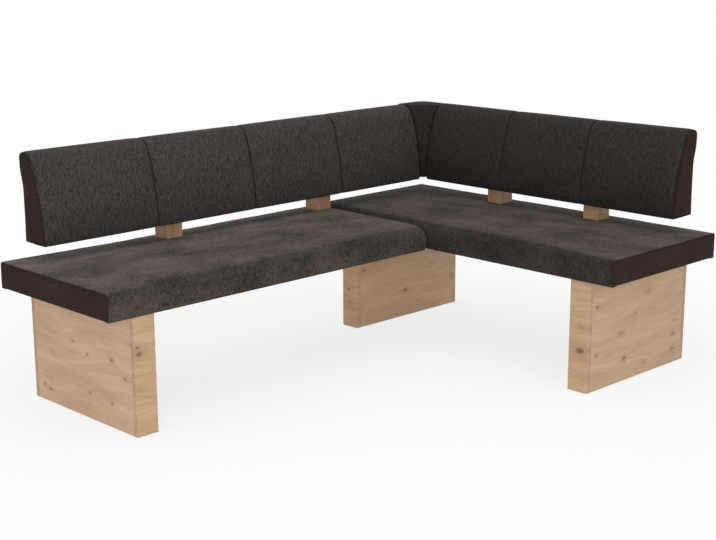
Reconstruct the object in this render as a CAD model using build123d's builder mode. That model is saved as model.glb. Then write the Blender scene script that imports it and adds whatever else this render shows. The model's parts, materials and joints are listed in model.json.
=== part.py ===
import os
from math import cos, radians, sin, sqrt

from build123d import *

os.makedirs("parts", exist_ok=True)

# Plan: the short bench takes the corner and the long bench butts against its front
long_side = 2020.0
short_side = 1420.0
seat_depth = 615.0

# Seat cushions
seat_height = 485.0
seat_thickness = 92.0
seat_crown = 3.0
seat_end_drop = 1.0
seat_front_radius = 40.0
seat_rear_radius = 10.0
seat_tuck = 5.0
cover_thickness = 2.0
soft_gap = 0.3
hem_width = 22.0

# Seat frames
frame_margin = 8.0
front_pad = 17.0
rail_width = 30.0
rail_height = 45.0
cross_rail_width = 40.0
deck_thickness = 6.0

# Posts between seat and backrest
post_width = 68.0
post_depth = 68.0
post_fit = 0.3
long_post_from_joint = 49.0
long_post_from_end = 549.0
short_post_from_corner = 493.0
short_post_from_end = 377.0

# Backrest frames
back_gap = 55.0
back_panel_height = 303.0
back_end_inset = 85.0
back_end_pad = 12.0
back_board = 6.0
back_rail_height = 30.0
back_rail_width = 30.0

# Backrest padding, measured from the front board, its own toe, the top edge and the rear face
panels = {"long": ("1", "2", "3", "4"), "short": ("1", "2", "3")}
last_panel_extra = 17.0
toe_foam = 40.0
belly_lean = 9.0
belly_height = 105.0
shoulder_lean = 44.0
shoulder_drop = 48.0
brow_run = 33.0
brow_drop = 3.0
brow_bulge_run = 12.0
brow_bulge_drop = 21.0
crest_foam = 108.0
top_round = 18.0
rear_roll = 12.0
roll_drop = 63.0
roll_taper = 50.0
channel_draw = 9.0
end_draw = 18.0
end_roll = 24.0
end_roll_draw = 4.0
end_turns = (0, 45, 90)

# Corner piece between the backrests
corner_lip = 10.0
corner_recess = 6.0
corner_lift = 8.0
corner_round = 14.0
corner_dome_run = 7.0
corner_bulge = 2.0

# Panel legs
leg_thickness = 80.0
leg_setback = 17.5
leg_board = 16.0
leg_end_inset = 97.0
corner_leg_inset = 123.0
corner_leg_setback = 2.0
core_rail_height = 40.0
edge_round = 2.0
joint_groove = 0.6
glide_radius = 14.0
glide_height = 4.0
glide_pin_radius = 2.5
glide_pin_length = 12.0
glide_inset = 50.0

# Steel fittings
bracket_flange = 40.0
bracket_width = 60.0
bracket_thickness = 4.0
bracket_end_inset = 150.0
joint_plate_thickness = 4.0
joint_plate_width = 50.0
joint_plate_margin = 16.0
joint_plate_from_leg = 110.0
joint_plate_from_front = 95.0
screw_radius = 2.5
screw_length = 30.0
screw_head_radius = 4.5
screw_head_height = 3.0
back_screw_rise = 60.0
back_screw_drop = 35.0
bolt_radius = 4.0
bolt_flats = 13.0
bolt_head_height = 5.3
nut_height = 6.5
bolt_sink = 0.7
socket_clearance = 1.5
metal_fit = 0.1

# Levels and depths that follow from the sizes above
runs = ("long", "short")
side = {"long": long_side, "short": short_side}
corner_x = long_side / 2
corner_y = short_side / 2
skin = cover_thickness + soft_gap
seat_low = seat_height - seat_thickness
seat_edge = seat_height - seat_crown
seat_span = {"long": (seat_depth + soft_gap, long_side), "short": (0, short_side)}
frame_low = seat_low + cover_thickness
rail_top = frame_low + rail_height
deck_top = rail_top + deck_thickness
frame_front = seat_depth - front_pad
front_rail_rear = frame_front - rail_width
post_rear = frame_margin + rail_width
post_front = post_rear + post_depth
post_rail_front = post_front + rail_width
back_low = seat_height + back_gap
back_top = back_low + back_panel_height
back_frame_low = back_low + cover_thickness
back_frame_top = back_top - crest_foam
top_rail_low = back_frame_top - back_rail_height
bottom_rail_top = back_frame_low + back_rail_height
back_frame_rear = post_rear - back_board
back_frame_front = post_front + back_board
back_rear = back_frame_rear - cover_thickness
back_toe = back_frame_front + toe_foam
back_belly = back_toe - belly_lean
back_shoulder = back_toe - shoulder_lean
back_brow = back_shoulder - brow_run
roll_low = back_top - roll_drop - roll_taper
corner_width = back_toe + corner_lip
corner_low = back_low + corner_lift
back_span = {run: (corner_width, side[run] - back_end_inset) for run in runs}
posts = {
    "long": {
        "corner": seat_depth + long_post_from_joint,
        "end": back_span["long"][1] - long_post_from_end,
    },
    "short": {
        "corner": short_post_from_corner,
        "end": back_span["short"][1] - short_post_from_end,
    },
}
leg_depth = seat_depth - leg_setback * 2
legs = {
    "left": ("long", long_side - leg_end_inset - leg_thickness, leg_setback),
    "corner": ("short", corner_leg_inset, corner_leg_setback),
    "right": ("short", short_side - leg_end_inset - leg_thickness, leg_setback),
}

# Directions along a bench away from the corner, and from its rear edge to its front
away = {"long": (-1, 0, 0), "short": (0, -1, 0)}
ahead = {"long": (0, -1, 0), "short": (-1, 0, 0)}
up = (0, 0, 1)


def spot(run, along, depth, height):
    """Point at a distance along a bench from the corner, ahead of its rear edge and above the floor."""
    if run == "long":
        return (corner_x - along, corner_y - depth, height)
    return (corner_x - depth, corner_y - along, height)


def block(run, along, depth, height, mode=Mode.ADD):
    """Box between two distances along a bench, two depths and two heights."""
    near = Vector(spot(run, along[0], depth[0], height[0]))
    far = Vector(spot(run, along[1], depth[1], height[1]))
    size = far - near
    with Locations((near + far) / 2):
        Box(abs(size.X), abs(size.Y), abs(size.Z), mode=mode)


def section_plane(run, along):
    """Upright plane across a bench, with depth along its x and height along its y."""
    facing = Vector(ahead[run]).cross(Vector(up))
    return Plane(origin=spot(run, along, 0, 0), x_dir=ahead[run], z_dir=facing)


def seat_section(run, along, inset, drop):
    """Section of a seat: flat underside, upright rear, round front edge and crowned top."""
    low = seat_low + inset
    top = seat_edge - inset - drop
    rear = inset
    front = seat_depth - inset
    front_round = seat_front_radius - inset
    rear_round = seat_rear_radius - inset
    front_end = (front - front_round, top)
    rear_end = (rear + rear_round, top)
    with BuildSketch(section_plane(run, along)) as section:
        with BuildLine():
            Line((rear, low), (front - seat_tuck, low))
            Line((front - seat_tuck, low), (front, top - front_round))
            CenterArc((front - front_round, top - front_round), front_round, 0, 90)
            ThreePointArc(front_end, ((front + rear) / 2, top + seat_crown), rear_end)
            CenterArc((rear + rear_round, top - rear_round), rear_round, 90, 90)
            Line((rear, top - rear_round), (rear, low))
        make_face()
    return section.sketch


def seat_form(run, along, inset, mode=Mode.ADD):
    """Seat cushion, a little higher in the middle of its length than at its ends."""
    near, far = along
    drops = ((near, seat_end_drop), ((near + far) / 2, 0), (far, seat_end_drop))
    loft([seat_section(run, at, inset, drop) for at, drop in drops], mode=mode)


def back_section(run, along, inset, draw):
    """Section of a backrest: front that leans back in a long curve, flat crest and a roll behind the top."""
    shrink = inset + draw
    low = back_low + inset
    rear = back_rear + inset
    roll = rear - rear_roll
    top = back_top - shrink
    toe = (back_toe - shrink, low)
    belly = (back_belly - shrink, back_low + belly_height)
    shoulder = (back_shoulder - shrink, top - shoulder_drop)
    bulge = (back_shoulder - brow_bulge_run - shrink, top - brow_bulge_drop)
    brow = (back_brow - shrink, top - brow_drop)
    crest_rear = (roll + top_round, top - brow_drop)
    crest = ((brow[0] + crest_rear[0]) / 2, top)
    roll_top = (roll, crest_rear[1] - top_round)
    roll_end = (roll, back_top - roll_drop)
    with BuildSketch(section_plane(run, along)) as section:
        with BuildLine():
            Line((rear, low), toe)
            ThreePointArc(toe, belly, shoulder)
            ThreePointArc(shoulder, bulge, brow)
            ThreePointArc(brow, crest, crest_rear)
            CenterArc((crest_rear[0], roll_top[1]), top_round, 90, 90)
            Line(roll_top, roll_end)
            Line(roll_end, (rear, roll_low))
            Line((rear, roll_low), (rear, low))
        make_face()
    return section.sketch


def panel_span(run, panel):
    """Two ends of one sewn panel, counted from the corner; the panel at the free end is a little longer."""
    near, far = back_span[run]
    pitch = (far - near - last_panel_extra) / len(panels[run])
    start = near + pitch * panels[run].index(panel)
    return start, far if panel == panels[run][-1] else start + pitch


def rolled_section(run, end, turn, inset):
    """Section on the quarter round that rolls a panel in towards its free end."""
    start = back_span[run][1] - end_roll
    along = start + (end - start) * sin(radians(turn))
    draw = end_roll_draw + (end_draw - end_roll_draw) * (1 - cos(radians(turn)))
    return back_section(run, along, inset, draw)


def back_form(run, panel, inset, seam_gap, end_gap, mode=Mode.ADD):
    """Padded panel: full in the middle, drawn in at its seams and rolled in at the free end."""
    near, far = panel_span(run, panel)
    free_end = panel == panels[run][-1]
    last = (far - end_roll, end_roll_draw) if free_end else (far - seam_gap, channel_draw)
    draws = ((near + seam_gap, channel_draw), ((near + far) / 2, 0), last)
    with BuildPart(mode=Mode.PRIVATE) as padding:
        loft([back_section(run, at, inset, draw) for at, draw in draws])
        if free_end:
            loft([rolled_section(run, far - end_gap, turn, inset) for turn in end_turns], ruled=True)
    add(padding.part, mode=mode)


def corner_outline(height, inset, front):
    """Plan of the corner piece: two rear sides, two short sides and a bulging face across the corner."""
    wide = corner_width - soft_gap - inset
    rear = back_rear + inset
    lip = front - corner_recess - inset
    middle = (lip + wide) / 2 + corner_bulge
    with BuildSketch(Plane(origin=(corner_x, corner_y, height), x_dir=(-1, 0, 0), z_dir=up)) as outline:
        with BuildLine():
            Polyline((wide, lip), (wide, rear), (rear, rear), (rear, wide), (lip, wide))
            ThreePointArc((lip, wide), (middle, middle), (wide, lip))
        make_face()
    return outline.sketch


def corner_form(inset, mode=Mode.ADD):
    """Corner piece that follows the backrest fronts and narrows to its domed top."""
    outlines = [
        corner_outline(corner_low, inset, back_toe),
        corner_outline(back_low + belly_height, inset, back_belly),
        corner_outline(back_top - shoulder_drop, inset, back_shoulder),
        corner_outline(back_top - corner_round - inset, inset, back_brow),
        corner_outline(back_top - inset, inset + corner_round, back_brow + corner_round - corner_dome_run),
    ]
    loft(outlines, ruled=True, mode=mode)


def corner_block_form(mode=Mode.ADD):
    """Upright block in the corner, flush with the ends of both backrest frames."""
    with BuildSketch(Plane(origin=(corner_x, corner_y, corner_low), x_dir=(-1, 0, 0), z_dir=up)) as plan:
        with BuildLine():
            Polyline(
                (post_rear, post_rear),
                (corner_width, post_rear),
                (corner_width, post_front),
                (post_front, corner_width),
                (post_rear, corner_width),
                close=True,
            )
        make_face()
    extrude(plan.sketch, amount=back_frame_top - corner_low, mode=mode)


def post_holes(run, height):
    """Openings for a bench's posts through a sheet between two heights."""
    half = post_width / 2 + post_fit
    for along in posts[run].values():
        depth = (post_rear - post_fit, post_front + post_fit)
        block(run, (along - half, along + half), depth, height, Mode.SUBTRACT)


def screw_holes(places):
    """Round holes for screws that start at these planes and run along their normals."""
    with Locations(*places):
        Cylinder(
            screw_radius + metal_fit,
            (screw_length + metal_fit) * 2,
            mode=Mode.SUBTRACT,
        )


def write(piece, name):
    """Name a finished piece and keep it as a file of its own."""
    piece.part.label = name
    export_step(piece.part, f"parts/{name}.step")


# Places of the screws, each a plane at the underside of the screw's head
def bracket_depths(leg):
    """Depths of the middles of a leg's two brackets."""
    setback = legs[leg][2]
    return setback + bracket_end_inset, setback + leg_depth - bracket_end_inset


def bracket_rows(leg):
    """Depths of the screws in a leg's brackets."""
    return [depth + way * bracket_width / 4 for depth in bracket_depths(leg) for way in (-1, 1)]


def upward_screws(leg):
    """Screws that hold a leg's brackets to the seat above."""
    run, along, _ = legs[leg]
    middle = along - bracket_flange / 2
    level = seat_low - bracket_thickness
    return [Plane(origin=spot(run, middle, depth, level), z_dir=up) for depth in bracket_rows(leg)]


def sideways_screws(leg):
    """Screws that hold a leg's brackets to its inner board and top rail."""
    run, along, _ = legs[leg]
    face = along - bracket_thickness
    level = seat_low - bracket_flange / 2
    return [Plane(origin=spot(run, face, depth, level), z_dir=away[run]) for depth in bracket_rows(leg)]


joint_rail_middle = seat_span["long"][0] + frame_margin + cross_rail_width / 2
front_rail_middle = frame_front - rail_width / 2
joint_plate_depths = (
    corner_leg_inset + leg_thickness + joint_plate_from_leg,
    seat_depth - joint_plate_from_front,
)
joint_screws = {
    side_of_joint: [
        Plane(
            origin=spot("long", along, depth + way * joint_plate_width / 4, seat_low - joint_plate_thickness),
            z_dir=up,
        )
        for depth in joint_plate_depths
        for way in (-1, 1)
    ]
    for side_of_joint, along in (("long", joint_rail_middle), ("short", front_rail_middle))
}
back_screws = {
    run: [
        Plane(
            origin=spot(run, along + way * post_width / 4, back_frame_rear + screw_head_height, level),
            z_dir=ahead[run],
        )
        for along in posts[run].values()
        for way in (-1, 1)
        for level in (back_low + back_screw_rise, top_rail_low - back_screw_drop)
    ]
    for run in runs
}
bolt_level = frame_low + rail_height / 2
bolt_recess = bolt_head_height + bolt_sink
nut_recess = nut_height + bolt_sink
socket_radius = bolt_flats / sqrt(3) + socket_clearance
bolts = {
    run: [
        Plane(
            origin=spot(run, along + way * post_width / 4, frame_margin + bolt_recess, bolt_level),
            z_dir=ahead[run],
        )
        for along in posts[run].values()
        for way in (-1, 1)
    ]
    for run in runs
}
nut_seat = post_rail_front - nut_recess - frame_margin - bolt_recess
bolt_length = nut_seat + nut_height


def bolt_holes(places):
    """Round holes for the post bolts, from the bolt heads' seats to the nuts."""
    with Locations(*places):
        Cylinder(
            bolt_radius + metal_fit,
            bolt_length + metal_fit,
            align=(Align.CENTER, Align.CENTER, Align.MIN),
            mode=Mode.SUBTRACT,
        )


def upright_edges(piece, direction):
    """Upright edges of a board, in order along a direction."""
    return piece.edges().filter_by(Axis.Z).sort_by(Axis((0, 0, 0), direction))


# Legs: two face boards between two edge boards, with a core rail at top and bottom
for leg, (run, along, setback) in legs.items():
    inner_face = along + leg_board
    outer_face = along + leg_thickness - leg_board
    leg_front = setback + leg_depth
    between_edges = (setback + leg_board, leg_front - leg_board)
    leg_rise = (glide_height, seat_low)

    with BuildPart() as inner_board:
        block(run, (along, inner_face), between_edges, leg_rise)
        chamfer(upright_edges(inner_board, away[run])[:2], joint_groove)
        screw_holes(sideways_screws(leg))
    write(inner_board, f"{leg}_leg_inner_board")

    with BuildPart() as outer_board:
        block(run, (outer_face, along + leg_thickness), between_edges, leg_rise)
        chamfer(upright_edges(outer_board, away[run])[-2:], joint_groove)
    write(outer_board, f"{leg}_leg_outer_board")

    with BuildPart() as edge_boards:
        block(run, (along, along + leg_thickness), (setback, between_edges[0]), leg_rise)
        block(run, (along, along + leg_thickness), (between_edges[1], leg_front), leg_rise)
        corners = upright_edges(edge_boards, ahead[run])
        fillet(corners[:2] + corners[-2:], edge_round)
    write(edge_boards, f"{leg}_leg_edge_boards")

    with BuildPart() as core_rails:
        block(run, (inner_face, outer_face), between_edges, (glide_height, glide_height + core_rail_height))
        block(run, (inner_face, outer_face), between_edges, (seat_low - core_rail_height, seat_low))
        screw_holes(sideways_screws(leg))
        with Locations(
            spot(run, along + leg_thickness / 2, setback + glide_inset, glide_height),
            spot(run, along + leg_thickness / 2, leg_front - glide_inset, glide_height),
        ):
            Cylinder(
                glide_pin_radius + metal_fit,
                glide_pin_length + metal_fit,
                align=(Align.CENTER, Align.CENTER, Align.MIN),
                mode=Mode.SUBTRACT,
            )
    write(core_rails, f"{leg}_leg_core_rails")

with BuildPart() as leg_glides:
    for run, along, setback in legs.values():
        with Locations(
            spot(run, along + leg_thickness / 2, setback + glide_inset, 0),
            spot(run, along + leg_thickness / 2, setback + leg_depth - glide_inset, 0),
        ):
            Cylinder(glide_radius, glide_height, align=(Align.CENTER, Align.CENTER, Align.MIN))
            Cylinder(
                glide_pin_radius,
                glide_height + glide_pin_length,
                align=(Align.CENTER, Align.CENTER, Align.MIN),
            )
write(leg_glides, "leg_glides")

with BuildPart() as leg_brackets:
    for leg, (run, along, setback) in legs.items():
        for depth in bracket_depths(leg):
            across = (depth - bracket_width / 2, depth + bracket_width / 2)
            block(run, (along - bracket_flange, along), across, (seat_low - bracket_thickness, seat_low))
            block(run, (along - bracket_thickness, along), across, (seat_low - bracket_flange, seat_low))
        screw_holes(upward_screws(leg) + sideways_screws(leg))
write(leg_brackets, "leg_brackets")

# Seats: a frame of rails under a deck board, foam over it, and the cover over the foam
for run in runs:
    near, far = seat_span[run]
    frame_span = (near + frame_margin, far - frame_margin)
    rail_rise = (frame_low, rail_top)
    own_legs = [leg for leg, place in legs.items() if place[0] == run]
    leg_screws = [place for leg in own_legs for place in upward_screws(leg)]

    with BuildPart() as front_rail:
        block(run, frame_span, (front_rail_rear, frame_front), rail_rise)
        if run == "short":
            screw_holes(joint_screws[run])
    write(front_rail, f"{run}_seat_front_rail")

    with BuildPart() as rear_rails:
        block(run, frame_span, (frame_margin, post_rear), rail_rise)
        block(run, frame_span, (post_front, post_rail_front), rail_rise)
        screw_holes(leg_screws)
        bolt_holes(bolts[run])
        with Locations(*bolts[run]):
            Cylinder(
                socket_radius,
                bolt_recess,
                align=(Align.CENTER, Align.CENTER, Align.MAX),
                mode=Mode.SUBTRACT,
            )
        with Locations(*[place.offset(nut_seat) for place in bolts[run]]):
            Cylinder(
                socket_radius,
                nut_recess,
                align=(Align.CENTER, Align.CENTER, Align.MIN),
                mode=Mode.SUBTRACT,
            )
    write(rear_rails, f"{run}_seat_rear_rails")

    rail_starts = [frame_span[0], *(legs[leg][1] - cross_rail_width for leg in own_legs)]
    rail_starts += [(rail_starts[-2] + rail_starts[-1]) / 2, frame_span[1] - cross_rail_width]
    with BuildPart() as cross_rails:
        for start in rail_starts:
            block(run, (start, start + cross_rail_width), (post_rail_front, front_rail_rear), rail_rise)
        screw_holes(leg_screws)
        if run == "long":
            screw_holes(joint_screws[run])
    write(cross_rails, f"{run}_seat_cross_rails")

    with BuildPart() as deck:
        block(run, frame_span, (frame_margin, frame_front), (rail_top, deck_top))
        post_holes(run, (rail_top, deck_top))
    write(deck, f"{run}_seat_deck")

    with BuildPart() as seat_foam:
        seat_form(run, (near + skin, far - skin), skin)
        block(run, frame_span, (frame_margin, frame_front), (seat_low, deck_top), Mode.SUBTRACT)
        post_holes(run, (deck_top, back_low))
    write(seat_foam, f"{run}_seat_foam")

    with BuildPart() as seat_cover:
        seat_form(run, (near, far), 0)
        seat_form(run, (near + cover_thickness, far), cover_thickness, Mode.SUBTRACT)
        block(
            run,
            (near + hem_width, far - hem_width),
            (hem_width, seat_depth - hem_width),
            (seat_low, frame_low),
            Mode.SUBTRACT,
        )
        post_holes(run, (deck_top, back_low))
        screw_holes(joint_screws[run])
    write(seat_cover, f"{run}_seat_cover")

    with BuildPart() as seat_end_panel:
        end_outline = seat_section(run, far, skin, seat_end_drop)
        extrude(end_outline, amount=cover_thickness, dir=-Vector(away[run]))
    write(seat_end_panel, f"{run}_seat_end_panel")

    lining_edge = hem_width + soft_gap
    with BuildPart() as lining:
        block(
            run,
            (near + lining_edge, far - lining_edge),
            (lining_edge, seat_depth - lining_edge),
            (seat_low, frame_low),
        )
        screw_holes(leg_screws + joint_screws[run])
    write(lining, f"{run}_seat_lining")

with BuildPart() as joint_plates:
    for depth in joint_plate_depths:
        block(
            "long",
            (front_rail_middle - joint_plate_margin, joint_rail_middle + joint_plate_margin),
            (depth - joint_plate_width / 2, depth + joint_plate_width / 2),
            (seat_low - joint_plate_thickness, seat_low),
        )
    screw_holes(joint_screws["long"] + joint_screws["short"])
write(joint_plates, "seat_joint_plates")

# Posts and the bolts that clamp them between the rear rails
for run in runs:
    for end, along in posts[run].items():
        with BuildPart() as post:
            block(
                run,
                (along - post_width / 2, along + post_width / 2),
                (post_rear, post_front),
                (frame_low, top_rail_low),
            )
            bolt_holes(bolts[run])
            screw_holes(back_screws[run])
        write(post, f"{run}_{end}_post")

with BuildPart() as post_bolts:
    for place in bolts["long"] + bolts["short"]:
        with BuildSketch(place):
            RegularPolygon(bolt_flats / 2, 6, major_radius=False)
        extrude(amount=-bolt_head_height)
        with BuildSketch(place):
            Circle(bolt_radius)
        extrude(amount=bolt_length)
        with BuildSketch(place.offset(nut_seat)):
            RegularPolygon(bolt_flats / 2, 6, major_radius=False)
            Circle(bolt_radius + metal_fit, mode=Mode.SUBTRACT)
        extrude(amount=nut_height)
write(post_bolts, "post_bolts")

# Backrests: a box frame round the posts, padded panels in front and over the top
for run in runs:
    near, far = back_span[run]
    frame_end = far - back_end_pad
    frame_rise = (back_frame_low, back_frame_top)
    post_edges = [along + way * post_width / 2 for along in posts[run].values() for way in (-1, 1)]
    rail_ends = [near, *post_edges, frame_end]

    with BuildPart() as back_rails:
        for start, end in zip(rail_ends[::2], rail_ends[1::2]):
            block(run, (start, end), (post_rear, post_front), (back_frame_low, bottom_rail_top))
        block(run, (near, frame_end), (post_rear, post_front), (top_rail_low, back_frame_top))
        screw_holes(back_screws[run])
    write(back_rails, f"{run}_back_rails")

    with BuildPart() as front_board:
        block(run, (near, frame_end), (post_front, back_frame_front), frame_rise)
    write(front_board, f"{run}_back_front_board")

    with BuildPart() as rear_board:
        block(run, (near, frame_end), (back_frame_rear, post_rear), frame_rise)
        screw_holes(back_screws[run])
        with Locations(*back_screws[run]):
            Cylinder(
                screw_head_radius + metal_fit,
                screw_head_height,
                align=(Align.CENTER, Align.CENTER, Align.MAX),
                mode=Mode.SUBTRACT,
            )
    write(rear_board, f"{run}_back_rear_board")

    with BuildPart() as back_foam:
        for panel in panels[run]:
            back_form(run, panel, skin, soft_gap, skin)
        block(
            run,
            (near, frame_end),
            (back_frame_rear, back_frame_front),
            (back_low, back_frame_top),
            Mode.SUBTRACT,
        )
    write(back_foam, f"{run}_back_foam")

    for panel in panels[run]:
        with BuildPart() as back_cover:
            back_form(run, panel, 0, 0, 0)
            back_form(run, panel, cover_thickness, 0, 0, Mode.SUBTRACT)
            block(
                run,
                panel_span(run, panel),
                (back_rear, back_frame_rear),
                (back_frame_low, roll_low),
                Mode.SUBTRACT,
            )
            post_holes(run, (back_low, back_frame_low))
        write(back_cover, f"{run}_back_cover_{panel}")

    with BuildPart() as back_end_panel:
        end_outline = back_section(run, far, skin, end_draw)
        extrude(end_outline, amount=cover_thickness, dir=-Vector(away[run]))
    write(back_end_panel, f"{run}_back_end_panel")

    with BuildPart() as rear_cover:
        block(
            run,
            (near, far),
            (back_rear, back_frame_rear),
            (back_frame_low + soft_gap, roll_low - soft_gap),
        )
    write(rear_cover, f"{run}_back_rear_cover")

with BuildPart() as back_end_rails:
    for run in runs:
        near, far = back_span[run]
        for start in (near, far - back_end_pad - back_rail_width):
            upright = (start, start + back_rail_width)
            block(run, upright, (post_rear, post_front), (bottom_rail_top, top_rail_low))
write(back_end_rails, "back_end_rails")

# Corner piece: a block between the two frames, padded and covered
with BuildPart() as corner_block:
    corner_block_form()
write(corner_block, "corner_block")

with BuildPart() as corner_foam:
    corner_form(skin)
    corner_block_form(Mode.SUBTRACT)
write(corner_foam, "corner_foam")

with BuildPart() as corner_cover:
    corner_form(0)
    corner_form(cover_thickness, Mode.SUBTRACT)
    corner_block_form(Mode.SUBTRACT)
write(corner_cover, "corner_cover")

# Screws of one size hold brackets, joint plates and rear boards
with BuildPart() as frame_screws:
    places = [place for leg in legs for place in upward_screws(leg) + sideways_screws(leg)]
    places += joint_screws["long"] + joint_screws["short"] + back_screws["long"] + back_screws["short"]
    with Locations(*places):
        Cylinder(screw_head_radius, screw_head_height, align=(Align.CENTER, Align.CENTER, Align.MAX))
        Cylinder(screw_radius, screw_length, align=(Align.CENTER, Align.CENTER, Align.MIN))
write(frame_screws, "frame_screws")
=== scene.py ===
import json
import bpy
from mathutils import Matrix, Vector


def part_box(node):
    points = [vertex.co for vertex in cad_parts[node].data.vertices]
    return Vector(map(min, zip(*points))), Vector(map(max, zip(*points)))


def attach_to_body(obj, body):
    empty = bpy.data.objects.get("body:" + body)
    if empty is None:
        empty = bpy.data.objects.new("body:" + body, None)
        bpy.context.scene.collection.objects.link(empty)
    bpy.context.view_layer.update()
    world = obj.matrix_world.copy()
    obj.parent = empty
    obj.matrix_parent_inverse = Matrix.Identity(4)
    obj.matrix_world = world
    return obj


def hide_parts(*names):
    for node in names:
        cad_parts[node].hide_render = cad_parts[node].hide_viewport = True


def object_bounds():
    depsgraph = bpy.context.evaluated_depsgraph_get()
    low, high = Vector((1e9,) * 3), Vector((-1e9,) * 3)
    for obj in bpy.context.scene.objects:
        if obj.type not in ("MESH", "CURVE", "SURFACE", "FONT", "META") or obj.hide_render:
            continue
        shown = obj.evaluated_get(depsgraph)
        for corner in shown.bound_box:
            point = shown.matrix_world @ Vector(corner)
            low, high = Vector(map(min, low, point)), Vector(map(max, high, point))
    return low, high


bl_info = {
    "name": "Corner Bench",
    "version": (1, 0, 0),
    "blender": (4, 5, 0),
    "location": "3D View > Sidebar > Bench",
    "description": "Dresses a corner bench with padded covers, wood and metal finishes and a plain stage",
    "category": "Object",
}

from math import cos, radians, sin

import bmesh
import bpy
import numpy as np
from bpy.props import FloatProperty, FloatVectorProperty, PointerProperty
from mathutils import Matrix, Vector

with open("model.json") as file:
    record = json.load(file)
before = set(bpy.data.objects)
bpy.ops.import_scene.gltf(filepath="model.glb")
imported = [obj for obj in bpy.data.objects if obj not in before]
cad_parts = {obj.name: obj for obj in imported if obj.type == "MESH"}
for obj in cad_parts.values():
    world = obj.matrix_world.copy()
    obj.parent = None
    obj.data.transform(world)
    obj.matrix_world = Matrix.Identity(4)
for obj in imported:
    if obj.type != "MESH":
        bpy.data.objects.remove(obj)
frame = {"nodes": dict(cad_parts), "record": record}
cad_low, cad_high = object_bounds()
corner_x, corner_y = cad_high.x, cad_high.y
runs = ("long", "short")

# Rounds of the cloth simulation, a full turn in radians, and how far a cover turns in at an end panel
swell_steps = 20
full_turn = 6.28
lip_depth = 0.006

# Knots on the legs' photographed faces: metres in from the front corner, metres up from the floor, radius
leg_knots = {
    "left": [
        (0.126, 0.229, 0.0060),
        (0.056, 0.182, 0.0045),
        (0.262, 0.218, 0.0035),
        (0.341, 0.247, 0.0040),
        (0.255, 0.092, 0.0040),
        (0.131, 0.084, 0.0040),
        (0.524, 0.058, 0.0040),
    ],
    "left edge": [(0.012, 0.293, 0.0050), (0.018, 0.272, 0.0090)],
    "corner": [(0.275, 0.110, 0.0070), (0.037, 0.232, 0.0045)],
    "corner edge": [(0.046, 0.154, 0.0040), (0.040, 0.104, 0.0040)],
    "right": [
        (0.212, 0.085, 0.0070),
        (0.046, 0.298, 0.0055),
        (0.509, 0.112, 0.0060),
        (0.514, 0.161, 0.0030),
        (0.048, 0.128, 0.0045),
        (0.270, 0.234, 0.0040),
    ],
    "right edge": [(0.032, 0.149, 0.0130)],
}


def length(name, description, default):
    """Property for a size in metres."""
    return FloatProperty(name=name, description=description, default=default, precision=4, unit="LENGTH")


def colour(name, description, default):
    """Property for a linear colour."""
    return FloatVectorProperty(
        name=name, description=description, default=default, subtype="COLOR", size=3, min=0, max=1
    )


def amount(name, description, default):
    """Property for a plain number."""
    return FloatProperty(name=name, description=description, default=default, precision=3)


class SeatSettings(bpy.types.PropertyGroup):
    """Sizes of the seat cushions."""

    crown: length("Crown", "Rise of the seat's middle before it is filled", 0.0005)
    edge_drop: length("Edge drop", "How far the edges lie below the solid seat's highest point", 0.0015)
    front_round: length("Front round", "Reach of the soft curve over the front edge", 0.085)
    end_front_round: length("End front round", "Reach of the front curve at a free end", 0.030)
    front_squash: amount("Front squash", "Height of the front curve over its depth", 0.52)
    soft_reach: length("Soft reach", "Length over which the cushion softens from its ends", 0.30)
    rear_round: length("Rear round", "Reach of the curve over the rear edge", 0.009)
    rear_fall: length("Rear fall", "How far the long seat drops towards its rear edge", 0.0055)
    fall_depth: length("Fall depth", "Depth over which the long seat drops to its rear edge", 0.09)
    fall_reach: length("Fall reach", "Length from the free end over which that drop grows", 0.45)
    end_round: length("End round", "Radius of the edge round the brown end panel", 0.0035)
    joint_round: length("Joint round", "Radius of the edge where the two seats meet", 0.024)
    front_belly: length("Front belly", "Bulge of the front face before it is filled", 0.001)
    tuck: length("Tuck", "How far the front's lower edge draws back", 0.005)
    hem: length("Hem", "Width of the cover turned under the seat", 0.022)
    ripple: length("Ripple", "Height of the cover's slight unevenness", 0.0008)
    post_dip: length("Post dip", "How far the posts press the cover down", 0.003)
    # Painted shade in the creases at the seats' ends: how dark it is, and over what distance it fades
    seam_shade: amount("Seam shade", "How dark the seam round an end panel shows", 0.45)
    seam_width: length("Seam width", "Distance over which that seam's shade fades", 0.003)
    pressure: amount("Pressure", "Pressure of the filling in the cloth simulation", 0.5)
    swell: length("Swell", "Farthest that the filling pushes the cover out", 0.004)


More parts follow.
